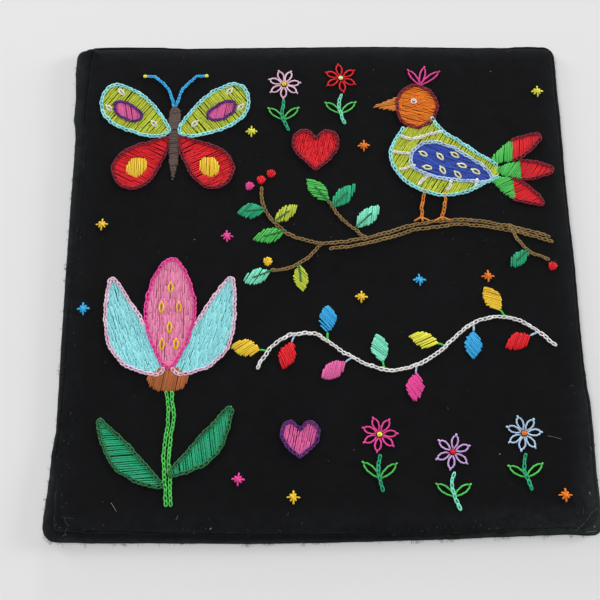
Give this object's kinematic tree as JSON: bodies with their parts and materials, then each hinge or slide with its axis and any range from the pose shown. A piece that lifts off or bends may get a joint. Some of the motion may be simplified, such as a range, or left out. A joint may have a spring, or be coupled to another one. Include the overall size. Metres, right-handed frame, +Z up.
{
  "type": "embroidered wall hanging",
  "caption": "Square black cotton wall hanging with an embroidered face, its backing rolled over the front's edge, lying face up.",
  "frame": {"origin": "centre of the underside, on the surface that the hanging lies on", "axes": "+X to the right edge and +Y to the top edge as it is looked at, +Z up, out of the embroidered face"},
  "size_m": [0.303, 0.3046, 0.0068],
  "materials": {
    "front_cotton": "matte plain-woven black cotton, slightly fuzzy, with the embroidery worked on it",
    "backing_cotton": "matte plain-woven black cotton, slightly fuzzy",
    "embroidery_floss": "stranded cotton floss in many colours, with a low sheen"
  },
  "bodies": {
    "root": {"front_cloth": "front_cotton", "back_cloth": "backing_cotton"}
  },
  "joints": []
}
